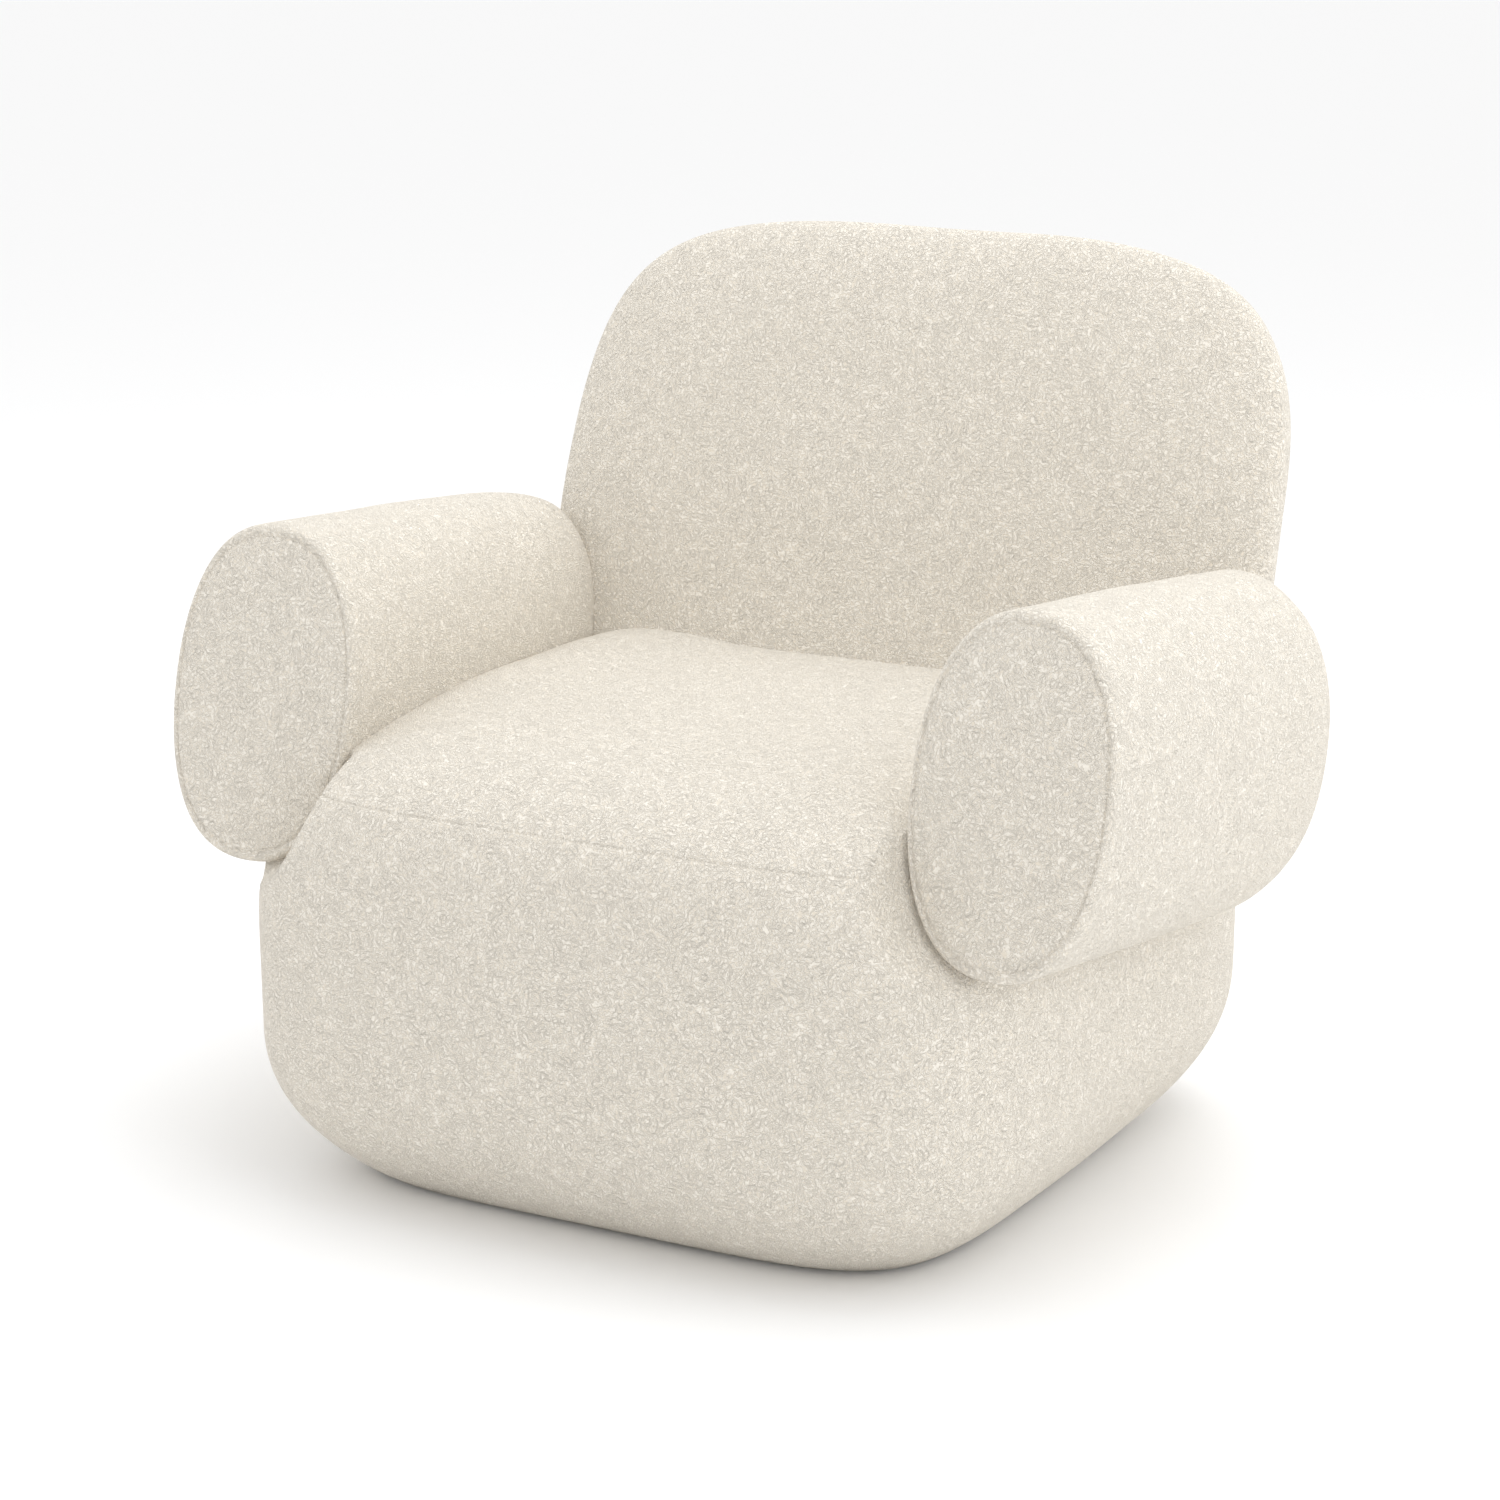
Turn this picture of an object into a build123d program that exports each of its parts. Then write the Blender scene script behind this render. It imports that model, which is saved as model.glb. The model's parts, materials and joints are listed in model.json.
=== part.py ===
from build123d import *
from math import asin, copysign, cos, degrees, pi, radians, sin, tan
import os

# Upholstered armchair: a turned-under seat block, two bolster arms and a leaning pillow back.
# Millimetres, +Z up, front towards -Y. Origin on the floor, in the middle of the whole chair.

# ---- driving dimensions ----
cover_thickness = 3.0
glide_height = 12.0
dust_cover_thickness = 1.2

base_half_width = 394.5
base_half_depth = 384.5
base_centre_y = -35.5
base_bottom = glide_height + dust_cover_thickness
base_widest_z = 155.0
base_rise = 282.0
base_drop = 224.0
base_plan_roundness = 0.38
base_top_roundness = 0.42
base_under_roundness = 0.90
seat_seam_z = 392.0

arm_half_width = 97.5
arm_half_height = 156.5
arm_roundness = 0.87
arm_length = 540.0
arm_rear_rounding = 189.0
arm_rear_sharpness = 2.82
arm_swell = 0.03
arm_centre = (396.5, -37.5, 429.5)
arm_slope = 5.6
arm_splay = 3.2
cap_lean = 7.3

back_half_width = 398.0
back_half_height = 362.0
back_front_crown = 38.0
back_rear_crown = 85.0
back_corner_r = 200.0
back_edge_r = 60.0
back_centre = (0.0, 238.0, 500.0)
back_rake = 19.0
back_bottom_z = 300.0
back_seam_offset = -50.0
back_soft_layer_offset = -14.0

board = 18.0
frame_half_width = 300.0
frame_half_depth = 275.0
frame_bottom = base_bottom + cover_thickness + 12.0
frame_top = 225.0
frame_front = base_centre_y - frame_half_depth
frame_rear = base_centre_y + frame_half_depth
side_inner_x = frame_half_width - board
far = 2000.0


# ---- shared shapes ----
def signed_power(value, power):
    return copysign(abs(value) ** power, value)


def oval_points(half_a, half_b, roundness, count=32):
    """Points round a superellipse: roundness 1 is an ellipse, 0 a rectangle."""
    angles = [2 * pi * step / count for step in range(count)]
    return [
        (half_a * signed_power(cos(angle), roundness), half_b * signed_power(sin(angle), roundness))
        for angle in angles
    ]


def front_plane(origin, lean, splay=0.0):
    """A plane that faces forwards, leaning back by lean and turned by splay, in degrees."""
    up = radians(lean)
    turn = radians(splay)
    across = (cos(turn), -sin(turn), 0)
    facing = (-sin(turn) * cos(up), -cos(turn) * cos(up), sin(up))
    return Plane(origin=origin, x_dir=across, z_dir=facing)


def soft_body(levels, roundness):
    """Loft of oval sections; each level is a plane and the section's two half sizes on it."""
    with BuildPart() as body:
        for plane, half_a, half_b in levels:
            with BuildSketch(plane):
                with BuildLine():
                    Spline(*oval_points(half_a, half_b, roundness), periodic=True)
                make_face()
        loft()
    return body.part


def block(low, high):
    """A board or block between two corners."""
    with BuildPart() as piece:
        centre = tuple((a + b) / 2 for a, b in zip(low, high))
        with Locations(centre):
            Box(*(b - a for a, b in zip(low, high)))
    return piece.part


def finish(part, label):
    part.label = label
    export_step(part, f"parts/{label}.step")


def mirror_image(part):
    """The left-hand twin of a right-hand piece."""
    with BuildPart() as twin:
        add(part.mirror(Plane.YZ))
    return twin.part


def save_pair(part, label, clear=()):
    """Writes a right-hand piece and its twin, whose overlap with each of clear is trimmed off."""
    finish(part, f"{label}_right")
    with BuildPart() as twin:
        add(mirror_image(part))
        for other in clear:
            add(other, mode=Mode.SUBTRACT)
    finish(twin.part, f"{label}_left")


def base_shape(inset):
    """The seat block's outer form, drawn in by inset."""
    bottom = base_bottom + inset
    start = -degrees(asin(((base_widest_z - bottom) / (base_drop - inset)) ** (1 / base_under_roundness)))
    under = [start * (1 - step / 3) for step in range(3)]
    over = [0, 6, 16, 30, 46, 62, 74, 81]
    levels = []
    for angle in under + over:
        turn = radians(angle)
        roundness = base_top_roundness if angle > 0 else base_under_roundness
        reach = base_rise - inset if angle > 0 else base_drop - inset
        height = base_widest_z + reach * signed_power(sin(turn), roundness)
        size = cos(turn) ** roundness
        plane = Plane.XY.offset(height).move(Location((0, base_centre_y, 0)))
        levels.append((plane, (base_half_width - inset) * size, (base_half_depth - inset) * size))
    return soft_body(levels, base_plan_roundness)


def arm_shape(inset):
    """The right arm's bolster, drawn in by inset, running past its front cap."""
    axis_plane = front_plane(arm_centre, arm_slope, arm_splay)
    rear = arm_length / 2 - inset
    rounding = arm_rear_rounding
    straight = [-arm_length / 2 - 60, -arm_length / 2, -arm_length / 4, 0, rear - rounding]
    curved = [rear - rounding * (1 - step) for step in (0.35, 0.6, 0.8, 0.92, 0.985)]
    levels = []
    for along in straight + curved:
        into_end = max(0.0, (along - rear + rounding) / rounding)
        size = (1 - into_end ** arm_rear_sharpness) ** (1 / arm_rear_sharpness)
        share = min(1.0, max(0.0, along / arm_length + 0.5))
        size *= 1 + arm_swell * sin(pi * share)
        levels.append(
            (axis_plane.offset(-along), (arm_half_width - inset) * size, (arm_half_height - inset) * size)
        )
    return soft_body(levels, arm_roundness)


def cap_plane(inset):
    """The plane of the arm's front cap, moved inwards by inset."""
    slope = radians(arm_slope)
    splay = radians(arm_splay)
    half = arm_length / 2
    centre = (
        arm_centre[0] - half * sin(splay) * cos(slope),
        arm_centre[1] - half * cos(splay) * cos(slope),
        arm_centre[2] + half * sin(slope),
    )
    return front_plane(centre, arm_slope + cap_lean, arm_splay).offset(-inset)


def at_rake(depth=0.0):
    """A plane in the back's own rake, depth forwards of the pillow's middle."""
    return front_plane(back_centre, back_rake).offset(depth)


def back_shape(inset):
    """The back pillow, drawn in by inset; its foot is trimmed level."""
    with BuildPart() as pillow:
        with BuildSketch(at_rake(inset - back_rear_crown)):
            RectangleRounded(
                2 * (back_half_width - inset),
                2 * (back_half_height - inset),
                back_corner_r - inset,
            )
        extrude(amount=back_front_crown + back_rear_crown - 2 * inset)
        faces = pillow.faces().sort_by(Axis(back_centre, at_rake().z_dir))
        fillet(faces[0].edges() + faces[-1].edges(), back_edge_r - inset)
        split(bisect_by=Plane.XY.offset(back_bottom_z + inset), keep=Keep.TOP)
    return pillow.part


os.makedirs("parts", exist_ok=True)

base_outer = base_shape(0)
base_inner = base_shape(cover_thickness)
with BuildPart() as whole_arm:
    add(arm_shape(0))
    split(bisect_by=cap_plane(0), keep=Keep.BOTTOM)
arm_outer = whole_arm.part
arm_inner = arm_shape(cover_thickness)
back_outer = back_shape(0)
back_inner = back_shape(cover_thickness)

# ---- base frame: panels, rails, blocks and the bottom board ----
finish(
    block((-270, base_centre_y - 250, frame_bottom - 12), (270, base_centre_y + 250, frame_bottom)),
    "base_bottom_board",
)
side_panel = block(
    (side_inner_x, frame_front, frame_bottom), (frame_half_width, frame_rear, frame_top)
)
save_pair(side_panel, "base_side_panel")
front_rail = block(
    (-side_inner_x, frame_front, frame_bottom), (side_inner_x, frame_front + board, frame_top)
)
finish(front_rail, "base_front_rail")

upright_x = 225.0
upright_width = 35.0
upright_depth = 50.0
upright_foot_z = 60.0
upright_rear_y = frame_rear - board
bolt_r = 4.0
bolt_clearance_r = 4.5
back_bolt_heights = (100.0, 185.0)

with BuildPart() as rear_rail:
    add(block((-side_inner_x, frame_rear - board, frame_bottom), (side_inner_x, frame_rear, frame_top)))
    with BuildSketch(Plane.XZ.offset(-frame_rear)):
        with Locations(*[(side * upright_x, z) for side in (-1, 1) for z in back_bolt_heights]):
            Circle(bolt_clearance_r)
    extrude(amount=board, mode=Mode.SUBTRACT)
finish(rear_rail.part, "base_rear_rail")

cross_rail_top = 190.0
finish(
    block(
        (-board / 2, frame_front + board, frame_bottom),
        (board / 2, upright_rear_y, cross_rail_top),
    ),
    "base_cross_rail",
)

block_leg = 60.0
with BuildPart() as corner_blocks:
    with BuildSketch(Plane.XY.offset(frame_bottom)):
        for side in (-1, 1):
            corner_x = side * side_inner_x
            corner_y = frame_front + board
            with BuildLine():
                Polyline(
                    (corner_x, corner_y),
                    (corner_x - side * block_leg, corner_y),
                    (corner_x, corner_y + block_leg),
                    close=True,
                )
            make_face()
    extrude(amount=frame_top - frame_bottom - 25)
finish(corner_blocks.part, "base_corner_blocks")

# ---- seat suspension: sinuous springs, their clips, tie wires and the insulator felt ----
wire_r = 1.9
spring_z = frame_top + 4.5
spring_pitch = 26.0
spring_half_wave = 24.0
spring_bend_r = 10.0
spring_columns = [-200.0, -100.0, 0.0, 100.0, 200.0]
spring_front = frame_front + 10
spring_rear = frame_rear - 10
crossings = int((spring_rear - spring_front) / spring_pitch)
wave_start = (spring_front + spring_rear - crossings * spring_pitch) / 2

spring_points = [(-spring_half_wave, wave_start)]
for crossing in range(crossings):
    side = 1 if crossing % 2 == 0 else -1
    spring_points.append((side * spring_half_wave, wave_start + crossing * spring_pitch))
    spring_points.append((side * spring_half_wave, wave_start + (crossing + 1) * spring_pitch))
last_side = 1 if crossings % 2 == 0 else -1
spring_points.append((last_side * spring_half_wave, wave_start + crossings * spring_pitch))

with BuildPart() as one_spring:
    with BuildLine(Plane.XY.offset(spring_z)) as wave:
        FilletPolyline(*spring_points, radius=spring_bend_r)
    with BuildSketch(Plane(origin=wave.wire() @ 0, z_dir=wave.wire() % 0)):
        Circle(wire_r)
    sweep()
with BuildPart() as springs:
    for column in spring_columns:
        add(Location((column, 0, 0)) * one_spring.part)
finish(springs.part, "seat_springs")

clip_gauge = 1.2
clip_half_width = 14.0
clip_inner = wire_r + 0.2
with BuildPart() as one_clip:
    with BuildSketch(Plane.YZ):
        Rectangle(2 * (clip_inner + clip_gauge), 2 * (clip_inner + clip_gauge))
        Rectangle(2 * clip_inner, 2 * clip_inner, mode=Mode.SUBTRACT)
        with Locations((clip_inner + clip_gauge / 2, 0)):
            Rectangle(clip_gauge + 1, clip_inner, mode=Mode.SUBTRACT)
    extrude(amount=clip_half_width / 2, both=True)
wave_end = wave_start + crossings * spring_pitch
with BuildPart() as spring_clips:
    for column in spring_columns:
        add(Location((column, wave_start, spring_z)) * one_clip.part)
        add(Location((column, wave_end, spring_z), (0, 0, 180)) * one_clip.part)
finish(spring_clips.part, "spring_clips")

tie_wire_r = 1.5
tie_wire_reach = 250.0
with BuildPart() as tie_wires:
    for share in (0.35, 0.65):
        tie_y = frame_front + share * 2 * frame_half_depth
        with BuildSketch(Plane.YZ):
            with Locations((tie_y, spring_z - wire_r - tie_wire_r)):
                Circle(tie_wire_r)
        extrude(amount=tie_wire_reach, both=True)
finish(tie_wires.part, "spring_tie_wires")

felt_bottom = spring_z + 4.0
felt_top = felt_bottom + 4.0
bearer_top = frame_top + board
bearer_inner_x = 262.0
felt_half_width = bearer_inner_x - 2
with BuildPart() as felt:
    add(block((-felt_half_width, frame_front, felt_bottom), (felt_half_width, frame_rear, felt_top)))
    for side in (-1, 1):
        with Locations((side * upright_x, upright_rear_y - upright_depth / 2, felt_bottom)):
            Box(upright_width + 2, upright_depth + 2, 20, mode=Mode.SUBTRACT)
finish(felt.part, "seat_insulator_felt")

# ---- arm frame: bearer, posts, rails, oval formers, bolts, washers and tee nuts ----
bearer_front = arm_centre[1] - 183.0
bearer_rear = arm_centre[1] + 107.0
bearer_outer_x = 378.0
post_inner_x = 338.0
post_outer_x = 376.0
post_length_y = 50.0
arm_bolt_x = (post_inner_x + post_outer_x) / 2
arm_bolt_ys = (arm_centre[1] - 130.0, arm_centre[1] + 30.0)
rail_front = arm_centre[1] - 200.0
rail_rear = arm_centre[1] + 85.0
lower_rail_z = 345.0
lower_rail_height = 25.0
upper_rail_z = 488.0
upper_rail_height = 22.0
former_thickness = 15.0
washer_r = 12.0
washer_thickness = 2.0
tee_nut_r = 11.0
tee_nut_thickness = 2.0


def drilled(part):
    """The part with the arm bolts' clearance holes through it."""
    with BuildPart() as piece:
        add(part)
        with BuildSketch():
            with Locations(*[(arm_bolt_x, y) for y in arm_bolt_ys]):
                Circle(bolt_clearance_r)
        extrude(amount=far, mode=Mode.SUBTRACT)
    return piece.part


arm_bearer = block((bearer_inner_x, bearer_front, frame_top), (bearer_outer_x, bearer_rear, bearer_top))
save_pair(drilled(arm_bearer), "arm_bearer")

arm_posts = []
for name, bolt_y in zip(("arm_front_post", "arm_rear_post"), arm_bolt_ys):
    half = post_length_y / 2
    post = block((post_inner_x, bolt_y - half, bearer_top), (post_outer_x, bolt_y + half, lower_rail_z))
    arm_posts.append(post)
    save_pair(drilled(post), name)

lower_rail = block(
    (post_inner_x, rail_front, lower_rail_z),
    (post_inner_x + 80, rail_rear, lower_rail_z + lower_rail_height),
)
save_pair(drilled(lower_rail), "arm_lower_rail")
upper_rail = block((374, rail_front, upper_rail_z), (414, rail_rear, upper_rail_z + upper_rail_height))
save_pair(upper_rail, "arm_upper_rail")


def former(centre_x, centre_z, half_width, half_height, front_y):
    """An oval plywood former standing across the arm."""
    with BuildPart() as plate:
        with BuildSketch(Plane.XZ.offset(-front_y - former_thickness)):
            with Locations((centre_x, centre_z)):
                Ellipse(half_width, half_height)
        extrude(amount=former_thickness)
    return plate.part


front_former = former(386, 449, 64, 112, rail_front - former_thickness)
rear_former = former(400, 420, 62, 106, rail_rear)
save_pair(front_former, "arm_front_former")
save_pair(rear_former, "arm_rear_former")

bolt_head_r = 6.5
bolt_head_height = 5.5
arm_bolt_bottom = frame_top - washer_thickness - bolt_head_height
arm_bolt_top = lower_rail_z + lower_rail_height + tee_nut_thickness + 3
arm_bolt_places = [(side * arm_bolt_x, y) for side in (-1, 1) for y in arm_bolt_ys]
with BuildPart() as arm_bolts:
    with BuildSketch(Plane.XY.offset(arm_bolt_bottom)):
        with Locations(*arm_bolt_places):
            RegularPolygon(bolt_head_r, 6, major_radius=False)
    extrude(amount=bolt_head_height)
    with BuildSketch(Plane.XY.offset(arm_bolt_bottom)):
        with Locations(*arm_bolt_places):
            Circle(bolt_r)
    extrude(amount=arm_bolt_top - arm_bolt_bottom)
finish(arm_bolts.part, "arm_bolts")
with BuildPart() as arm_washers:
    with BuildSketch(Plane.XY.offset(frame_top - washer_thickness)):
        with Locations(*arm_bolt_places):
            Circle(washer_r)
            Circle(bolt_clearance_r, mode=Mode.SUBTRACT)
    extrude(amount=washer_thickness)
finish(arm_washers.part, "arm_washers")
with BuildPart() as arm_tee_nuts:
    with BuildSketch(Plane.XY.offset(lower_rail_z + lower_rail_height)):
        with Locations(*arm_bolt_places):
            Circle(tee_nut_r)
            Circle(bolt_r, mode=Mode.SUBTRACT)
    extrude(amount=tee_nut_thickness)
finish(arm_tee_nuts.part, "arm_tee_nuts")

# ---- back frame: sawn uprights, rails, elastic webbing, bolts and washers ----
rake = radians(back_rake)
knee_z = frame_top + 20
upright_tip_z = 715.0
rail_depth = 22.0


def rake_shift(z):
    """How far back the raked part of an upright has gone at height z."""
    return (z - knee_z) * tan(rake)


with BuildPart() as upright:
    with BuildSketch(Plane.YZ.offset(upright_x - upright_width / 2)):
        with BuildLine():
            Polyline(
                (upright_rear_y, upright_foot_z),
                (upright_rear_y, knee_z),
                (upright_rear_y + rake_shift(upright_tip_z), upright_tip_z),
                (upright_rear_y - upright_depth + rake_shift(upright_tip_z), upright_tip_z),
                (upright_rear_y - upright_depth, knee_z),
                (upright_rear_y - upright_depth, upright_foot_z),
                close=True,
            )
        make_face()
    extrude(amount=upright_width)
    with BuildSketch(Plane.XZ.offset(-upright_rear_y)):
        with Locations(*[(upright_x, z) for z in back_bolt_heights]):
            Circle(bolt_clearance_r)
    extrude(amount=upright_depth, mode=Mode.SUBTRACT)
save_pair(upright.part, "back_upright")

rail_half = upright_x - upright_width / 2
back_rail_heights = {"back_lower_rail": 345.0, "back_lumbar_rail": 500.0, "back_top_rail": 680.0}
back_rails = []
for name, rail_z in back_rail_heights.items():
    rail_y = upright_rear_y - upright_depth / 2 + rake_shift(rail_z)
    with BuildPart() as rail:
        with BuildSketch(front_plane((0, rail_y, rail_z), back_rake)):
            Rectangle(2 * rail_half, 50)
        extrude(amount=rail_depth / 2, both=True)
    back_rails.append(rail.part)
    finish(rail.part, name)

band_width = 50.0
band_thickness = 1.6
upright_face = front_plane((0, upright_rear_y - upright_depth, knee_z), back_rake)
face_up = cos(rake)
with BuildPart() as cross_bands:
    with BuildSketch(upright_face):
        for band_z in (375, 455, 535, 615):
            with Locations((0, (band_z - knee_z) / face_up)):
                Rectangle(2 * upright_x + upright_width, band_width)
    extrude(amount=band_thickness)
finish(cross_bands.part, "back_webbing_across")
with BuildPart() as long_bands:
    with BuildSketch(upright_face.offset(-band_thickness)):
        for band_x in (-140, 0, 140):
            with Locations((band_x, (520 - knee_z) / face_up)):
                Rectangle(band_width, 400)
    extrude(amount=band_thickness)
finish(long_bands.part, "back_webbing_upright")

back_bolt_places = [(side * upright_x, z) for side in (-1, 1) for z in back_bolt_heights]
rear_face = Plane.XZ.offset(-frame_rear)
with BuildPart() as back_bolts:
    with BuildSketch(rear_face.offset(-washer_thickness)):
        with Locations(*back_bolt_places):
            RegularPolygon(bolt_head_r, 6, major_radius=False)
    extrude(amount=-bolt_head_height)
    with BuildSketch(rear_face.offset(-washer_thickness)):
        with Locations(*back_bolt_places):
            Circle(bolt_r)
    extrude(amount=board + upright_depth + washer_thickness + 6)
finish(back_bolts.part, "back_bolts")
with BuildPart() as back_washers:
    with BuildSketch(rear_face):
        with Locations(*back_bolt_places):
            Circle(washer_r)
            Circle(bolt_clearance_r, mode=Mode.SUBTRACT)
    extrude(amount=-washer_thickness)
finish(back_washers.part, "back_washers")

# ---- base padding: seat core and topper, and a pad on each side of the frame ----
seat_core_top = 345.0
arms_and_back = [arm_outer, mirror_image(arm_outer), back_outer]
uprights = [upright.part, mirror_image(upright.part)]
bearers = [arm_bearer, mirror_image(arm_bearer)]


def base_pad(low, high, clear):
    """The seat block's padding between two corners, less everything set into it."""
    with BuildPart() as pad:
        add(base_inner)
        add(block(low, high), mode=Mode.INTERSECT)
        for other in arms_and_back + clear:
            add(other, mode=Mode.SUBTRACT)
    return pad.part


finish(
    base_pad(
        (-frame_half_width, frame_front, felt_top),
        (frame_half_width, frame_rear, seat_core_top),
        uprights + bearers,
    ),
    "seat_foam_core",
)
finish(
    base_pad(
        (-frame_half_width, frame_front, seat_core_top),
        (frame_half_width, frame_rear, far),
        uprights,
    ),
    "seat_foam_topper",
)
finish(
    base_pad((-frame_half_width, -far, 0), (frame_half_width, frame_front, far), []),
    "base_foam_front",
)
bolt_head_room = [
    block((-frame_half_width, frame_rear, 85), (frame_half_width, frame_rear + 14, 200))
]
finish(
    base_pad((-frame_half_width, frame_rear, 0), (frame_half_width, far, far), uprights + bolt_head_room),
    "base_foam_rear",
)
head_room = [
    block((arm_bolt_x - 15, y - 15, frame_top - 20), (arm_bolt_x + 15, y + 15, frame_top))
    for y in arm_bolt_ys
]
save_pair(
    base_pad((frame_half_width, -far, 0), (far, far, far), [arm_bearer] + arm_posts + head_room),
    "base_foam_side",
    arms_and_back,
)

# ---- base cover: top panel, front and side wrap, rear panel, and the dust cover ----
opening_half_width = 245.0
opening_half_depth = 235.0
rear_seam_y = frame_rear + 20


def base_panel(low, high):
    """The part of the seat block's cover between two corners, open under the frame."""
    with BuildPart() as panel:
        add(base_outer)
        add(block(low, high), mode=Mode.INTERSECT)
        add(base_inner, mode=Mode.SUBTRACT)
        with Locations((0, base_centre_y, base_bottom)):
            Box(2 * opening_half_width, 2 * opening_half_depth, 4 * cover_thickness, mode=Mode.SUBTRACT)
        for other in arms_and_back:
            add(other, mode=Mode.SUBTRACT)
    return panel.part


finish(base_panel((-far, -far, seat_seam_z), (far, far, far)), "seat_top_cover")
finish(base_panel((-far, -far, -1), (far, rear_seam_y, seat_seam_z)), "base_wrap_cover")
finish(base_panel((-far, rear_seam_y, -1), (far, far, seat_seam_z)), "base_rear_cover")

with BuildPart() as dust_cover:
    with BuildSketch(Plane.XY.offset(glide_height)):
        with Locations((0, base_centre_y)):
            RectangleRounded(2 * opening_half_width + 40, 2 * opening_half_depth + 40, 30)
    extrude(amount=dust_cover_thickness)
finish(dust_cover.part, "dust_cover")

# ---- glides and their screws ----
glide_r = 24.0
glide_top_r = 20.0
glide_x = 205.0
glide_y = 195.0
screw_r = 2.0
screw_head_r = 4.0
screw_head_height = 3.0
screw_recess = 6.0
glide_places = GridLocations(2 * glide_x, 2 * glide_y, 2, 2)
with BuildPart() as one_glide:
    Cone(glide_r, glide_top_r, glide_height, align=(Align.CENTER, Align.CENTER, Align.MIN))
    fillet(one_glide.edges().sort_by(Axis.Z)[0], 2)
    Cylinder(screw_r, far, mode=Mode.SUBTRACT)
    with Locations((0, 0, 0)):
        Cylinder(
            screw_head_r + 0.5,
            screw_recess,
            align=(Align.CENTER, Align.CENTER, Align.MIN),
            mode=Mode.SUBTRACT,
        )
with BuildPart() as glides:
    for place in glide_places:
        add(Location((0, base_centre_y, 0)) * place * one_glide.part)
finish(glides.part, "glides")
with BuildPart() as one_screw:
    with Locations((0, 0, screw_recess - screw_head_height)):
        Cylinder(screw_head_r, screw_head_height, align=(Align.CENTER, Align.CENTER, Align.MIN))
    with Locations((0, 0, screw_recess)):
        Cylinder(screw_r, glide_height - screw_recess, align=(Align.CENTER, Align.CENTER, Align.MIN))
with BuildPart() as glide_screws:
    for place in glide_places:
        add(Location((0, base_centre_y, 0)) * place * one_screw.part)
finish(glide_screws.part, "glide_screws")

# ---- arm padding and covers ----
with BuildPart() as arm_foam:
    add(arm_inner)
    split(bisect_by=cap_plane(cover_thickness), keep=Keep.BOTTOM)
    add(back_outer, mode=Mode.SUBTRACT)
    for other in [lower_rail, upper_rail, front_former, rear_former] + arm_posts:
        add(other, mode=Mode.SUBTRACT)
    for bolt_y in arm_bolt_ys:
        with Locations((arm_bolt_x, bolt_y, lower_rail_z + lower_rail_height + 8)):
            Box(30, 30, 16, mode=Mode.SUBTRACT)
save_pair(arm_foam.part, "arm_foam", [back_outer])
with BuildPart() as arm_cover:
    add(arm_outer)
    add(arm_inner, mode=Mode.SUBTRACT)
    add(back_outer, mode=Mode.SUBTRACT)
    for other in arm_posts:
        add(other, mode=Mode.SUBTRACT)
save_pair(arm_cover.part, "arm_cover", [back_outer])
with BuildPart() as arm_cap:
    add(arm_inner)
    split(bisect_by=cap_plane(0), keep=Keep.BOTTOM)
    split(bisect_by=cap_plane(cover_thickness), keep=Keep.TOP)
save_pair(arm_cap.part, "arm_cap")

# ---- back padding and covers ----
with BuildPart() as back_padding:
    add(back_inner)
    for other in uprights + back_rails + [cross_bands.part, long_bands.part]:
        add(other, mode=Mode.SUBTRACT)
    with BuildSketch(upright_face):
        with Locations((0, (520 - knee_z) / face_up)):
            Rectangle(2 * rail_half, 380)
    extrude(amount=-upright_depth, mode=Mode.SUBTRACT)
with BuildPart() as back_core:
    add(back_padding.part)
    split(bisect_by=at_rake(back_soft_layer_offset), keep=Keep.BOTTOM)
finish(back_core.part, "back_foam_core")
with BuildPart() as back_soft_layer:
    add(back_padding.part)
    split(bisect_by=at_rake(back_soft_layer_offset), keep=Keep.TOP)
finish(back_soft_layer.part, "back_foam_front")


def back_panel(keep):
    """The back's cover on one side of its seam."""
    with BuildPart() as panel:
        add(back_outer)
        split(bisect_by=at_rake(back_seam_offset), keep=keep)
        add(back_inner, mode=Mode.SUBTRACT)
        for other in uprights:
            add(other, mode=Mode.SUBTRACT)
    return panel.part


finish(back_panel(Keep.TOP), "back_front_cover")
finish(back_panel(Keep.BOTTOM), "back_rear_cover")
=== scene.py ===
import json
import math
import bmesh
import bpy
from mathutils import Matrix, Vector, noise


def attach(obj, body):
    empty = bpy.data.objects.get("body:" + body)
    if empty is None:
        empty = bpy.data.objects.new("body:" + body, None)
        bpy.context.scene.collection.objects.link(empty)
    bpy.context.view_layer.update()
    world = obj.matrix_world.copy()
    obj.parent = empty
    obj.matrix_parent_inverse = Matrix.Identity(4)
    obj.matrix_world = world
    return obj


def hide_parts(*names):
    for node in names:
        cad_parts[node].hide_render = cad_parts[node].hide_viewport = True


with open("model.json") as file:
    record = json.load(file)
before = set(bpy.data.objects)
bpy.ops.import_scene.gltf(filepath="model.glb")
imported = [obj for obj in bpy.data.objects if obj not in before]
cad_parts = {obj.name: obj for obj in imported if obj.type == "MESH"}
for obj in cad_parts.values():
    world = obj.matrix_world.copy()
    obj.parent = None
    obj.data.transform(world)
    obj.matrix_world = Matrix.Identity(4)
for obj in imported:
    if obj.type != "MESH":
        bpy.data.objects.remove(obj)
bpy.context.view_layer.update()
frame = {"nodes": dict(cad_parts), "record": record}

# Sizes and places are in metres, in the frame's axes: -Y is the front, +Z is up.
# Names ending in PLAN, TOP, UNDER, OVAL, OUTLINE and EDGE are the powers that square off a rounded form.
# The seat block.
BASE_HALF = (0.3945, 0.3845)
BASE_CENTRE_Y = -0.0355
BASE_WIDEST_Z = 0.155
BASE_RISE = 0.282
BASE_DROP = 0.224
BASE_BOTTOM = 0.0025
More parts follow.
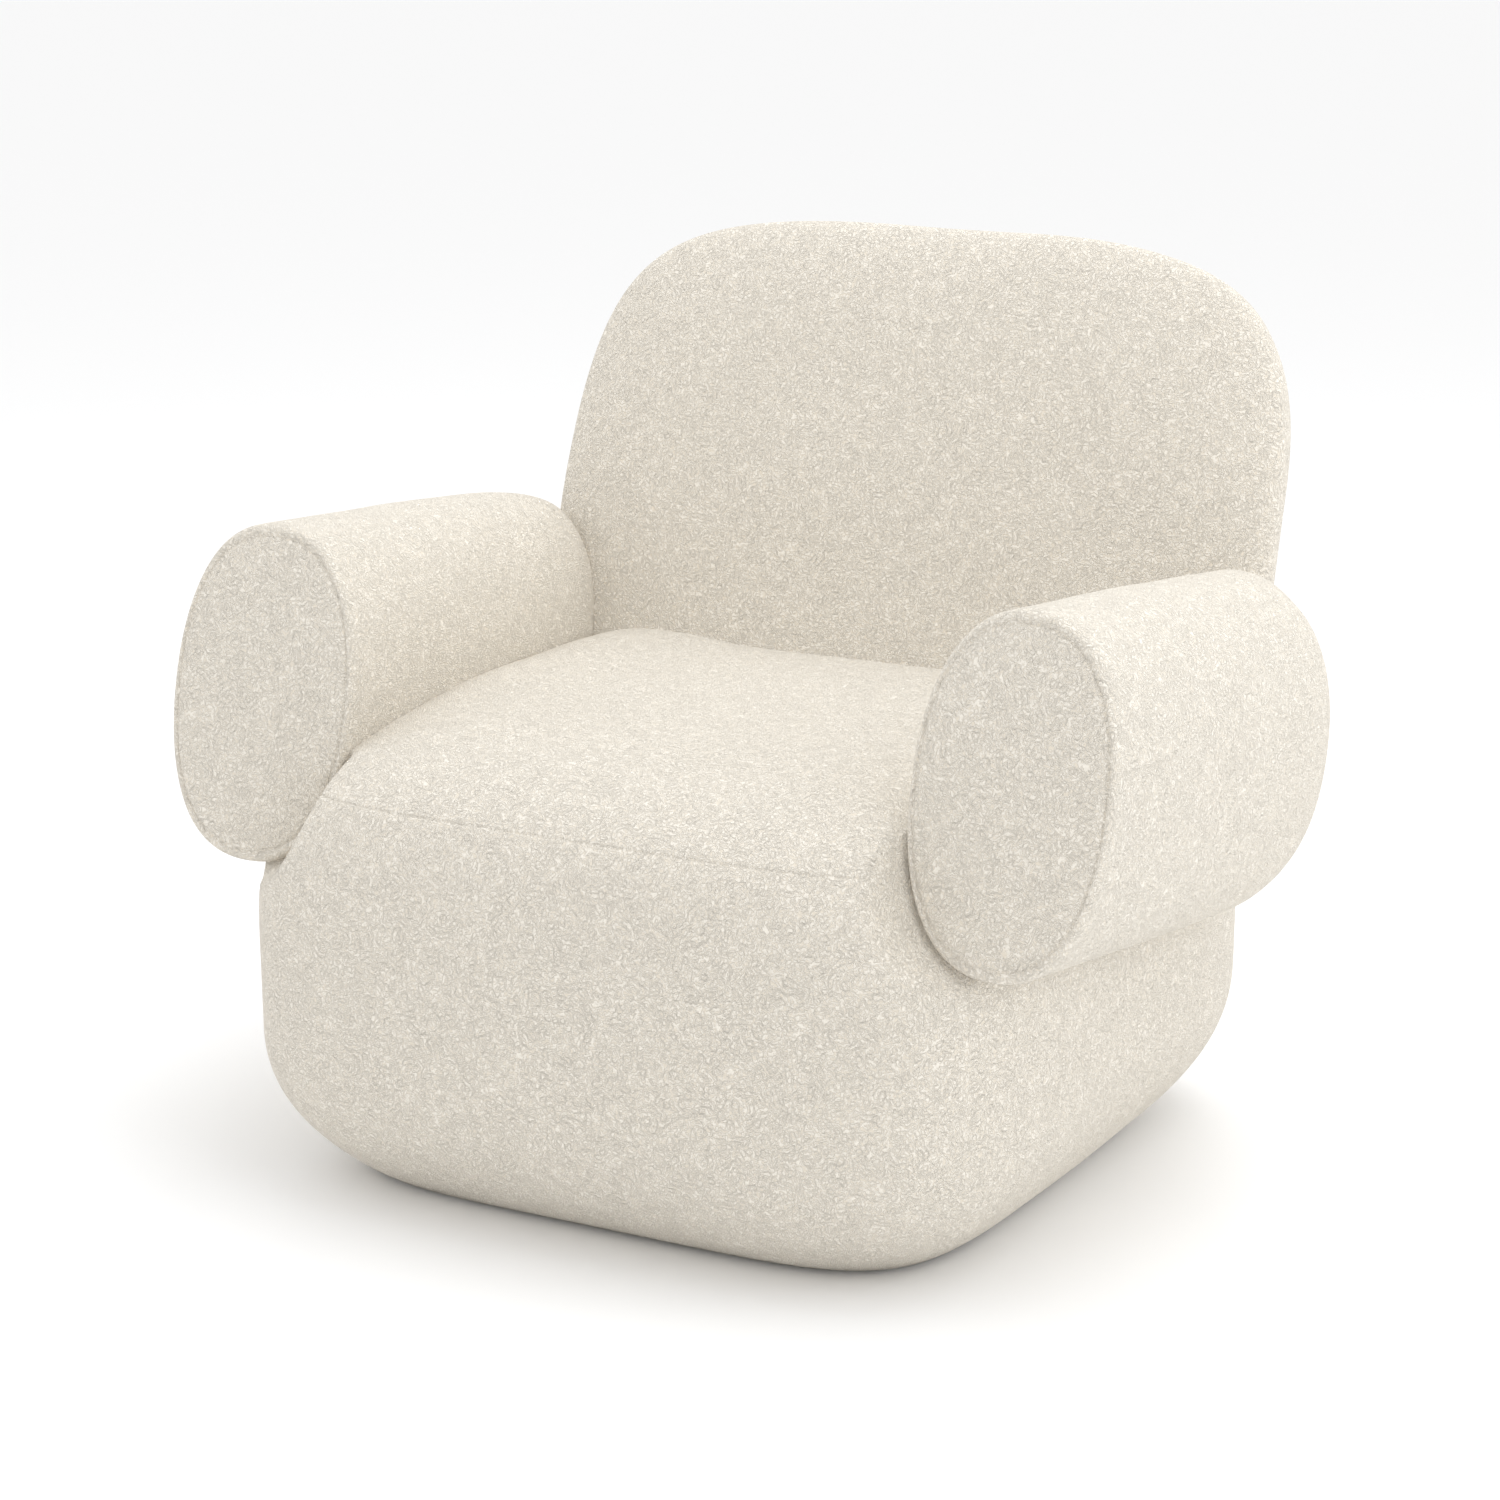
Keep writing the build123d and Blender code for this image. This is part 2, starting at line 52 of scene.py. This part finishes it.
BASE_PLAN = 0.38
BASE_TOP = 0.42
BASE_UNDER = 0.90
BASE_COLUMNS = 448
RECESS_HALF = (0.272, 0.262)
UNDER_RECESS = 0.021
SEAT_SEAM_Z = 0.384
SEAT_SEAM = (0.0008, 0.45)
SHOULDER_LIFT = 0.012
REAR_LIFT = -0.001
BASE_CORE_Z = 0.20

# The arm bolsters, in their own axes: X across, Y along towards the rear, Z up.
ARM_HALF = (0.0975, 0.1580)
ARM_LENGTH = 0.540
ARM_CENTRE = Vector((0.4005, -0.0375, 0.4285))
ARM_SLOPE = math.radians(5.6)
ARM_SPLAY = math.radians(3.2)
ARM_REAR_ROUNDING = 0.189
ARM_REAR_POWER = 2.82
ARM_OVAL = 0.87
ARM_SWELL = 0.012
ARM_INNER_ROUNDING = 0.095
ARM_INNER_POWER = 3.6
ARM_COLUMNS = 224
CAP_LEAN = math.radians(7.3)
CAP_CROWN = 0.009
CAP_SIZE = 0.88
ROLL_SIZE = 0.956
ROLL_LIFT = -0.0004
ROLL_END = 0.010
ROOM_DEPTH = 0.012
ROOM_REACH = 1.13

# The back pillow.
BACK_HALF = (0.397, 0.362)
BACK_FRONT_CROWN = 0.038
BACK_REAR_CROWN = 0.092
BACK_CENTRE = Vector((0.0040, 0.238, 0.500))
BACK_RAKE = math.radians(19.0)
BACK_OUTLINE = 0.49
BACK_EDGE = 0.74
BACK_FOOT = 0.300
BACK_COLUMNS = 288
BACK_SEAM_TURN = 38.0
BACK_SEAM = (0.0020, 0.7)

# How deep neighbouring pads stay in each other.
PRESS = 0.006

# The studio.
CAMERA = (1.6775, -3.1220, 1.3013)
AIM = (0.0033, -0.0615, 0.3780)
WORLD_LIGHT = 1.0
TOP_POWER = 40.0
RIGHT_POWER = 21.0
LEFT_POWER = 4.0
LAMP_COLOUR = (0.96, 0.98, 1.0)
FLOOR_COLOUR = (0.945, 0.945, 0.945, 1)
FLOOR_SIZE = 40.0


# ---------------------------------------------------------------- shader helpers
class Socket:
    """A node output that Python operators can do arithmetic on."""

    def __init__(self, paint, socket):
        self.paint = paint
        self.socket = socket

    def maths(self, operation, *others):
        return self.paint.add("ShaderNodeMath", {"operation": operation}, [self, *others])

    def __add__(self, other):
        return self.maths("ADD", other)

    __radd__ = __add__

    def __mul__(self, other):
        return self.maths("MULTIPLY", other)

    __rmul__ = __mul__

    def __sub__(self, other):
        return self.maths("SUBTRACT", other)

    def __rsub__(self, other):
        return self.paint.add("ShaderNodeMath", {"operation": "SUBTRACT"}, [other, self])


class Paint:
    """One material and the nodes that feed its surface shader."""

    def __init__(self, name, **constants):
        self.material = bpy.data.materials.new(name)
        self.material.use_nodes = True
        self.tree = self.material.node_tree
        self.shader = self.tree.nodes["Principled BSDF"]
        for socket, value in constants.items():
            self.shader.inputs[socket.replace("_", " ")].default_value = value

    def add(self, kind, settings=None, inputs=(), output=0):
        node = self.tree.nodes.new(kind)
        for key, value in (settings or {}).items():
            if key == "stops":
                ramp = node.color_ramp.elements
                while len(ramp) < len(value):
                    ramp.new(0.5)
                for element, (place, colour) in zip(ramp, value):
                    element.position = place
                    element.color = colour
            else:
                setattr(node, key, value)
        pairs = inputs.items() if isinstance(inputs, dict) else enumerate(inputs)
        for key, value in pairs:
            self.feed(node.inputs[key], value)
        return Socket(self, node.outputs[output])

    def feed(self, target, value):
        if isinstance(value, Socket):
            self.tree.links.new(value.socket, target)
        else:
            target.default_value = value

    def noise(self, where, scale, detail, output=0):
        settings = {"noise_dimensions": "3D"}
        inputs = {"Vector": where, "Scale": scale, "Detail": detail}
        return self.add("ShaderNodeTexNoise", settings, inputs, output)

    def bump(self, height, strength, distance):
        inputs = {"Strength": strength, "Distance": distance, "Height": height}
        return self.add("ShaderNodeBump", {}, inputs)

    def mix(self, factor, first, second):
        return self.add(
            "ShaderNodeMix", {"data_type": "RGBA"}, {0: factor, 6: first, 7: second}, output=2
        )

    def place(self):
        return self.add("ShaderNodeTexCoord", output=3)

    def surface(self, **links):
        for socket, value in links.items():
            self.feed(self.shader.inputs[socket.replace("_", " ")], value)
        return self.material


def darker(colour, share):
    return tuple(share * part for part in colour[:3]) + (1,)


def boucle():
    """Curly off-white loops about four millimetres long, with painted shade in the gaps between them."""
    paint = Paint("boucle", Sheen_Weight=0.12, Sheen_Roughness=0.5, Specular_IOR_Level=0.12)
    here = paint.place()
    swirl = paint.noise(here, 330.0, 1.0, output=1)
    bend = paint.add("ShaderNodeVectorMath", {"operation": "MULTIPLY_ADD"}, [swirl, (0.005,) * 3, here])
    loops = paint.noise(bend, 150.0, 0.0)
    curls = paint.add("ShaderNodeMath", {"operation": "COSINE"}, [loops * 50.0]) * 0.5 + 0.5
    fuzz = paint.noise(here, 1300.0, 2.0)
    clumps = paint.noise(here, 22.0, 3.0)
    height = curls * 0.8 + fuzz * 0.2
    # The gap colour is painted shade deep between the loops; the ramp from it up to the crest is partly the
    # yarn's own tone and partly this painted shade.
    painted_gap_shade = (0.725, 0.655, 0.545, 1)
    side = (0.825, 0.768, 0.675, 1)
    crest = (0.865, 0.820, 0.740, 1)
    tone = paint.add("ShaderNodeValToRGB", {"stops": [(0.0, painted_gap_shade), (0.35, side), (1.0, crest)]}, [height])
    drift = paint.mix(clumps * 0.10, tone, (0.772, 0.705, 0.600, 1))
    bump = paint.bump(height, 0.7, 0.0017)
    return paint.surface(Base_Color=drift, Normal=bump, Roughness=0.98 - height * 0.08)


def plain(name, colour, roughness, grain_scale, metallic=0.0):
    """A moulded or woven finish with a fine grain."""
    paint = Paint(name, Metallic=metallic)
    grain = paint.noise(paint.place(), grain_scale, 3.0)
    tone = paint.mix(grain, darker(colour, 0.75), colour)
    bump = paint.bump(grain, 0.3, 0.0004)
    return paint.surface(Base_Color=tone, Normal=bump, Roughness=roughness - 0.15 * (grain - 0.5))


def wood(name, colour, scale):
    """Straight-grained wood with darker growth lines."""
    paint = Paint(name, Specular_IOR_Level=0.3)
    stretched = paint.add("ShaderNodeMapping", {}, {"Vector": paint.place(), "Scale": (1.0, 0.08, 1.0)})
    grain = paint.noise(stretched, scale, 5.0)
    tone = paint.mix(grain, darker(colour, 0.62), colour)
    bump = paint.bump(grain, 0.25, 0.0005)
    return paint.surface(Base_Color=tone, Normal=bump, Roughness=0.55 + 0.2 * grain)


# ---------------------------------------------------------------- soft forms
def signed_power(value, power):
    """A power that keeps the value's sign."""
    return math.copysign(abs(value) ** power, value)


def ramp(value, start, length):
    """From 0 at start to 1 at start + length, and level beyond."""
    return max(0.0, min(1.0, (value - start) / length))


def eased(share):
    return share * share * (3 - 2 * share)


def spaced(start, end, count):
    """Evenly spaced values after start, up to and including end."""
    return [start + (end - start) * step / count for step in range(1, count + 1)]


def grid_ball(columns, rows):
    """A unit sphere and each vertex's row, counted from the south pole, and angle round it."""
    bm = bmesh.new()
    bmesh.ops.create_uvsphere(bm, u_segments=columns, v_segments=rows, radius=1.0)
    places = []
    for vert in bm.verts:
        up = math.asin(max(-1.0, min(1.0, vert.co.z)))
        row = round((up / math.pi + 0.5) * rows)
        places.append((vert, row, math.atan2(vert.co.y, vert.co.x)))
    return bm, places


def groove(distance, depth, width):
    """How far a sewn seam sinks the cloth at a distance from its line."""
    return depth * math.exp(-((distance / width) ** 2))


SEAM_UP = math.degrees(math.asin(((SEAT_SEAM_Z - BASE_WIDEST_Z) / BASE_RISE) ** (1 / BASE_TOP)))


def base_ups():
    """The rows of the seat block, close together along its seam."""
    ups = [-90.0] + spaced(-90, -40, 4) + spaced(-40, 0, 22) + spaced(0, SEAM_UP - 3, 26)
    ups += spaced(SEAM_UP - 3, SEAM_UP + 3, 24) + spaced(SEAM_UP + 3, 90, 34)
    return ups


def recess_under(vert):
    """Lifts the middle of the underside clear of the dust cover and glides."""
    across = abs(vert.co.x / RECESS_HALF[0])
    along = abs((vert.co.y - BASE_CENTRE_Y) / RECESS_HALF[1])
    if vert.co.z <= 0.03 and across**6 + along**6 < 1:
        vert.co.z = UNDER_RECESS


def make_room(vert, side):
    """Rolls the block's shoulder back to the bolster's cap, so that the cap's whole outline shows."""
    place = arm_turn(side)
    local = place.inverted() @ vert.co
    reach = abs(local.x / ARM_HALF[0]) ** (2 / ARM_OVAL) + abs(local.z / ARM_HALF[1]) ** (2 / ARM_OVAL)
    away = reach ** (ARM_OVAL / 2)
    cap = -ARM_LENGTH / 2 + math.tan(CAP_LEAN) * local.z
    short = cap + ROOM_DEPTH - local.y
    if short <= 0 or away > ROOM_REACH:
        return
    local.y += short * eased(min(1.0, (ROOM_REACH - away) / (ROOM_REACH - 1)))
    vert.co = place @ local


def base_form():
    """The seat block: turned under at the floor, crowned on top, with a seam round its shoulder."""
    ups = base_ups()
    bm, places = grid_ball(BASE_COLUMNS, len(ups) - 1)
    for vert, row, around in places:
        up = math.radians(ups[row])
        over = up >= 0
        power = BASE_TOP if over else BASE_UNDER
        reach = BASE_RISE if over else BASE_DROP
        ring = abs(math.cos(up)) ** power if abs(ups[row]) < 90 else 0.0
        sink = groove(ups[row] - SEAM_UP, *SEAT_SEAM)
        across = signed_power(math.cos(around), BASE_PLAN)
        along = signed_power(math.sin(around), BASE_PLAN)
        x = (BASE_HALF[0] - sink) * ring * across
        y = BASE_CENTRE_Y + (BASE_HALF[1] - sink) * ring * along
        z = BASE_WIDEST_Z + (reach - sink) * signed_power(math.sin(up), power)
        vert.co = (x, y, max(z, BASE_BOTTOM))
    for vert in bm.verts:
        shoulder = ramp(abs(vert.co.x), 0.14, 0.14)
        high = ramp(vert.co.z, 0.34, 0.07)
        behind = ramp(vert.co.y, -0.28, 0.20)
        rear = ramp(vert.co.y, 0.0, 0.12)
        vert.co.z += high * (SHOULDER_LIFT * shoulder * behind + REAR_LIFT * rear)
        make_room(vert, 1)
        make_room(vert, -1)
        recess_under(vert)
    return bm


def arm_turn(side):
    """From the bolster's own axes to the frame's."""
    turn = Matrix.Rotation(-ARM_SPLAY, 4, "Z") @ Matrix.Rotation(-ARM_SLOPE, 4, "X")
    place = Matrix.Translation(ARM_CENTRE) @ turn
    return place if side > 0 else Matrix.Scale(-1, 4, (1, 0, 0)) @ place


def arm_girth(along, inner=0.0):
    """The bolster's size at a place along it; its inner side stays full for longer."""
    rounding = ARM_REAR_ROUNDING + inner * (ARM_INNER_ROUNDING - ARM_REAR_ROUNDING)
    power = ARM_REAR_POWER + inner * (ARM_INNER_POWER - ARM_REAR_POWER)
    into = (along - ARM_LENGTH / 2 + rounding) / rounding
    size = max(0.0, 1 - min(1.0, max(0.0, into)) ** power) ** (1 / power)
    return size * (1 + ARM_SWELL * math.sin(math.pi * arm_share(along)))


def inner_share(across):
    """How much a direction across the bolster points at the seat."""
    return eased(ramp(-across, -0.5, 1.0))


def arm_stations():
    """Size and place of each row: crowned cap, seam, rolled fold, tube and rounded rear end."""
    front = -ARM_LENGTH / 2
    cap = [(size, front - CAP_CROWN * (1 - size * size)) for size in [0.0] + spaced(0, CAP_SIZE, 16)]
    dip = [(0.90, front - 0.0014), (0.915, front - 0.0008), (0.924, front + 0.0004), (0.930, front + 0.0007)]
    rise = [(0.936, front + 0.0004), (0.945, front - 0.0004), (ROLL_SIZE, front + ROLL_LIFT)]
    roll = []
    for step in spaced(0, 90, 8):
        bend = math.radians(step)
        size = ROLL_SIZE + (1 - ROLL_SIZE) * math.sin(bend)
        roll.append((size, front + ROLL_LIFT + (ROLL_END - ROLL_LIFT) * (1 - math.cos(bend))))
    start = front + ROLL_END
    tube = []
    for share in spaced(0, 1, 70):
        along = start + (ARM_LENGTH / 2 - start) * math.sin(0.5 * math.pi * share)
        tube.append((arm_girth(along), along))
    return cap + dip + rise + roll + tube


def arm_share(along):
    """Where a place along the bolster lies, from 0 at its front to 1 at its rear."""
    return max(0.0, min(1.0, along / ARM_LENGTH + 0.5))


def arm_form(side):
    """A bolster with a leaning front cap."""
    stations = arm_stations()
    bm, places = grid_ball(ARM_COLUMNS, len(stations) - 1)
    for vert, row, around in places:
        size, along = stations[row]
        if along > 0.0:
            size = arm_girth(along, inner_share(math.cos(around)))
        x = ARM_HALF[0] * size * signed_power(math.cos(around), ARM_OVAL)
        z = ARM_HALF[1] * size * signed_power(math.sin(around), ARM_OVAL)
        lean = math.tan(CAP_LEAN) * (1 - arm_share(along))
        vert.co = (x, along + lean * z, z)
    bmesh.ops.transform(bm, matrix=arm_turn(side), verts=bm.verts)
    return bm


def back_ups():
    """The rows of the back pillow, close together along its seam."""
    below, above = -BACK_SEAM_TURN - 4, -BACK_SEAM_TURN + 4
    return [-90.0] + spaced(-90, below, 30) + spaced(below, above, 20) + spaced(above, 90, 54)


def back_form():
    """The back pillow: flatter in front, fuller behind, with a seam near its rear edge."""
    ups = back_ups()
    bm, places = grid_ball(BACK_COLUMNS, len(ups) - 1)
    for vert, row, around in places:
        up = math.radians(ups[row])
        ring = abs(math.cos(up)) ** BACK_EDGE if abs(ups[row]) < 90 else 0.0
        crown = BACK_FRONT_CROWN if up > 0 else BACK_REAR_CROWN
        sink = groove(ups[row] + BACK_SEAM_TURN, *BACK_SEAM)
        vert.co = (
            (BACK_HALF[0] - sink) * ring * signed_power(math.cos(around), BACK_OUTLINE),
            (sink - crown) * signed_power(math.sin(up), BACK_EDGE),
            (BACK_HALF[1] - sink) * ring * signed_power(math.sin(around), BACK_OUTLINE),
        )
    bmesh.ops.transform(bm, matrix=Matrix.Rotation(-BACK_RAKE, 4, "X"), verts=bm.verts)
    bmesh.ops.translate(bm, vec=BACK_CENTRE, verts=bm.verts)
    for vert in bm.verts:
        short = max(0.0, BACK_FOOT - vert.co.z)
        vert.co += Vector((0, short * math.tan(BACK_RAKE), short))
    return bm


# ---------------------------------------------------------------- how the pads press on each other
def inside_arm(point, side, deep):
    """Whether a point lies more than deep inside a bolster."""
    local = arm_turn(side).inverted() @ point
    along = local.y - math.tan(CAP_LEAN) * local.z * (1 - arm_share(local.y))
    if not -ARM_LENGTH / 2 + deep < along < ARM_LENGTH / 2 - deep:
        return False
    girth = arm_girth(along, inner_share(local.x / max(1e-4, math.hypot(local.x, local.z))))
    wide = max(1e-4, ARM_HALF[0] * girth - deep)
    high = max(1e-4, ARM_HALF[1] * girth - deep)
    reach = abs(local.x / wide) ** (2 / ARM_OVAL) + abs(local.z / high) ** (2 / ARM_OVAL)
    return reach < 1


def inside_back(point, deep):
    """Whether a point lies more than deep inside the back pillow."""
    if point.z < BACK_FOOT + deep:
        return False
    local = Matrix.Rotation(BACK_RAKE, 3, "X") @ (point - BACK_CENTRE)
    outline = abs(local.x / (BACK_HALF[0] - deep)) ** (2 / BACK_OUTLINE)
    outline += abs(local.z / (BACK_HALF[1] - deep)) ** (2 / BACK_OUTLINE)
    crown = (BACK_FRONT_CROWN if local.y < 0 else BACK_REAR_CROWN) - deep
    return outline ** (BACK_OUTLINE / BACK_EDGE) + abs(local.y / crown) ** (2 / BACK_EDGE) < 1


def press_in(bm, anchor_of, inside):
    """Draws each vertex that is inside a neighbour back towards its anchor, until it is out."""
    for vert in bm.verts:
        if not inside(vert.co):
            continue
        anchor = anchor_of(vert.co)
        near, out = 0.0, 1.0
        for _ in range(12):
            middle = (near + out) / 2
            if inside(vert.co.lerp(anchor, middle)):
                near = middle
            else:
                out = middle
        vert.co = vert.co.lerp(anchor, out)


def soften(bm, size, height):
    """The slight unevenness of hand-stretched cloth over foam."""
    bm.normal_update()
    moves = [
        (vert, vert.normal * height * noise.noise(vert.co * size)) for vert in bm.verts
        if vert.co.z > BASE_BOTTOM + 0.004
    ]
    for vert, move in moves:
        vert.co += move


def piece(bm, name, material, replaced):
    """A finished smooth piece that rides on the frame and stands for its plain CAD solids."""
    bmesh.ops.recalc_face_normals(bm, faces=bm.faces)
    mesh = bpy.data.meshes.new(name)
    bm.to_mesh(mesh)
    bm.free()
    mesh.polygons.foreach_set("use_smooth", [True] * len(mesh.polygons))
    made = bpy.data.objects.new(name, mesh)
    bpy.context.scene.collection.objects.link(made)
    made.data.materials.append(material)
    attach(made, "root")
    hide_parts(*replaced)


def make_pads():
    """The four crowned forms; the seat block and the bolsters are drawn in where a neighbour presses on
    them.
    """
    cloth = boucle()
    base = base_form()
    soften(base, 9.0, 0.0022)
    press_in(
        base,
        lambda point: Vector((0.0, point.y * 0.9, BASE_CORE_Z)),
        lambda point: inside_arm(point, 1, PRESS) or inside_arm(point, -1, PRESS),
    )
    base_core = Vector((0.0, BASE_CENTRE_Y, BASE_CORE_Z))
    press_in(base, lambda point: base_core, lambda point: inside_back(point, PRESS))
    piece(
        base, "seat_block", cloth,
        ["seat_top_cover", "base_wrap_cover", "base_rear_cover", "seat_foam_core", "seat_foam_topper",
         "base_foam_front", "base_foam_rear", "base_foam_side_left", "base_foam_side_right"],
    )
    for side, word in ((1, "right"), (-1, "left")):
        arm = arm_form(side)
        soften(arm, 11.0, 0.0016)
        axis = arm_turn(side)

        def own_axis(point):
            local = axis.inverted() @ point
            return axis @ Vector((0.03, local.y * 0.97, 0))

        press_in(arm, own_axis, lambda point: inside_back(point, PRESS))
        piece(
            arm, f"arm_bolster_{word}", cloth,
            [f"arm_cover_{word}", f"arm_cap_{word}", f"arm_foam_{word}"],
        )
    back = back_form()
    soften(back, 8.0, 0.0022)
    piece(
        back, "back_pillow", cloth,
        ["back_front_cover", "back_rear_cover", "back_foam_core", "back_foam_front"],
    )


# ---------------------------------------------------------------- frame, springs and feet
def make_hardware():
    """Gives each solid carried over from the frame the finish of its slot."""
    finishes = {
        "beech": wood("beech", (0.50, 0.30, 0.16, 1), 40.0),
        "plywood": wood("birch_plywood", (0.62, 0.46, 0.28, 1), 70.0),
        "spring_steel": plain("spring_steel", (0.30, 0.30, 0.31, 1), 0.38, 600.0, 1.0),
        "zinc_plated_steel": plain("zinc_plated_steel", (0.62, 0.63, 0.64, 1), 0.32, 400.0, 1.0),
        "webbing": plain("elastic_webbing", (0.06, 0.05, 0.045, 1), 0.85, 900.0),
        "felt": plain("fibre_felt", (0.17, 0.16, 0.15, 1), 0.98, 300.0),
        "dust_cloth": plain("dust_cloth", (0.012, 0.012, 0.014, 1), 0.90, 700.0),
        "glide_plastic": plain("glide_plastic", (0.015, 0.015, 0.017, 1), 0.45, 250.0),
    }
    slot_of = {row["node"]: row["material_slot"] for row in frame["record"]["subparts"]}
    for name, node in frame["nodes"].items():
        if node.hide_render:
            continue
        finish = finishes[slot_of[name]]
        if not node.data.materials:
            node.data.materials.append(finish)
        for place in node.material_slots:
            place.material = finish


# ---------------------------------------------------------------- studio
def make_floor():
    """A plain pale floor that fills the background."""
    bm = bmesh.new()
    bmesh.ops.create_grid(bm, x_segments=1, y_segments=1, size=FLOOR_SIZE)
    mesh = bpy.data.meshes.new("floor")
    bm.to_mesh(mesh)
    bm.free()
    floor = bpy.data.objects.new("floor", mesh)
    bpy.context.scene.collection.objects.link(floor)
    paint = Paint("floor", Roughness=0.9, Specular_IOR_Level=0.1)
    mesh.materials.append(paint.surface(Base_Color=FLOOR_COLOUR))


def softbox(name, place, target, size, power):
    """A rectangular area light aimed at a point."""
    lamp = bpy.data.lights.new(name, "AREA")
    lamp.shape = "RECTANGLE"
    lamp.size, lamp.size_y = size
    lamp.energy = power
    lamp.color = LAMP_COLOUR
    lamp_object = bpy.data.objects.new(name, lamp)
    bpy.context.scene.collection.objects.link(lamp_object)
    lamp_object.location = place
    lamp_object.rotation_euler = (Vector(target) - Vector(place)).to_track_quat("-Z", "Y").to_euler()


def make_studio():
    """Soft light from above and the right, and a long lens from the front right."""
    scene = bpy.context.scene
    world = bpy.data.worlds.new("studio")
    world.use_nodes = True
    background = world.node_tree.nodes["Background"]
    background.inputs["Color"].default_value = (1.0, 1.0, 1.0, 1)
    background.inputs["Strength"].default_value = WORLD_LIGHT
    scene.world = world
    scene.view_settings.view_transform = "Standard"
    softbox("top_softbox", (0.3, 0.6, 3.2), (0, 0, 0.4), (2.6, 2.6), TOP_POWER)
    softbox("right_softbox", (3.2, 0.4, 1.7), (0, 0, 0.4), (2.2, 2.2), RIGHT_POWER)
    softbox("left_softbox", (-3.2, -0.3, 1.9), (0, 0, 0.5), (2.2, 2.2), LEFT_POWER)
    lens = bpy.data.cameras.new("camera")
    lens.sensor_width = 36.0
    lens.lens = 91.2
    lens.shift_y = 0.0103
    lens.clip_end = 200.0
    camera = bpy.data.objects.new("camera", lens)
    scene.collection.objects.link(camera)
    camera.location = CAMERA
    camera.rotation_euler = (Vector(AIM) - Vector(CAMERA)).to_track_quat("-Z", "Y").to_euler()
    scene.camera = camera


make_pads()
make_hardware()
make_floor()
make_studio()
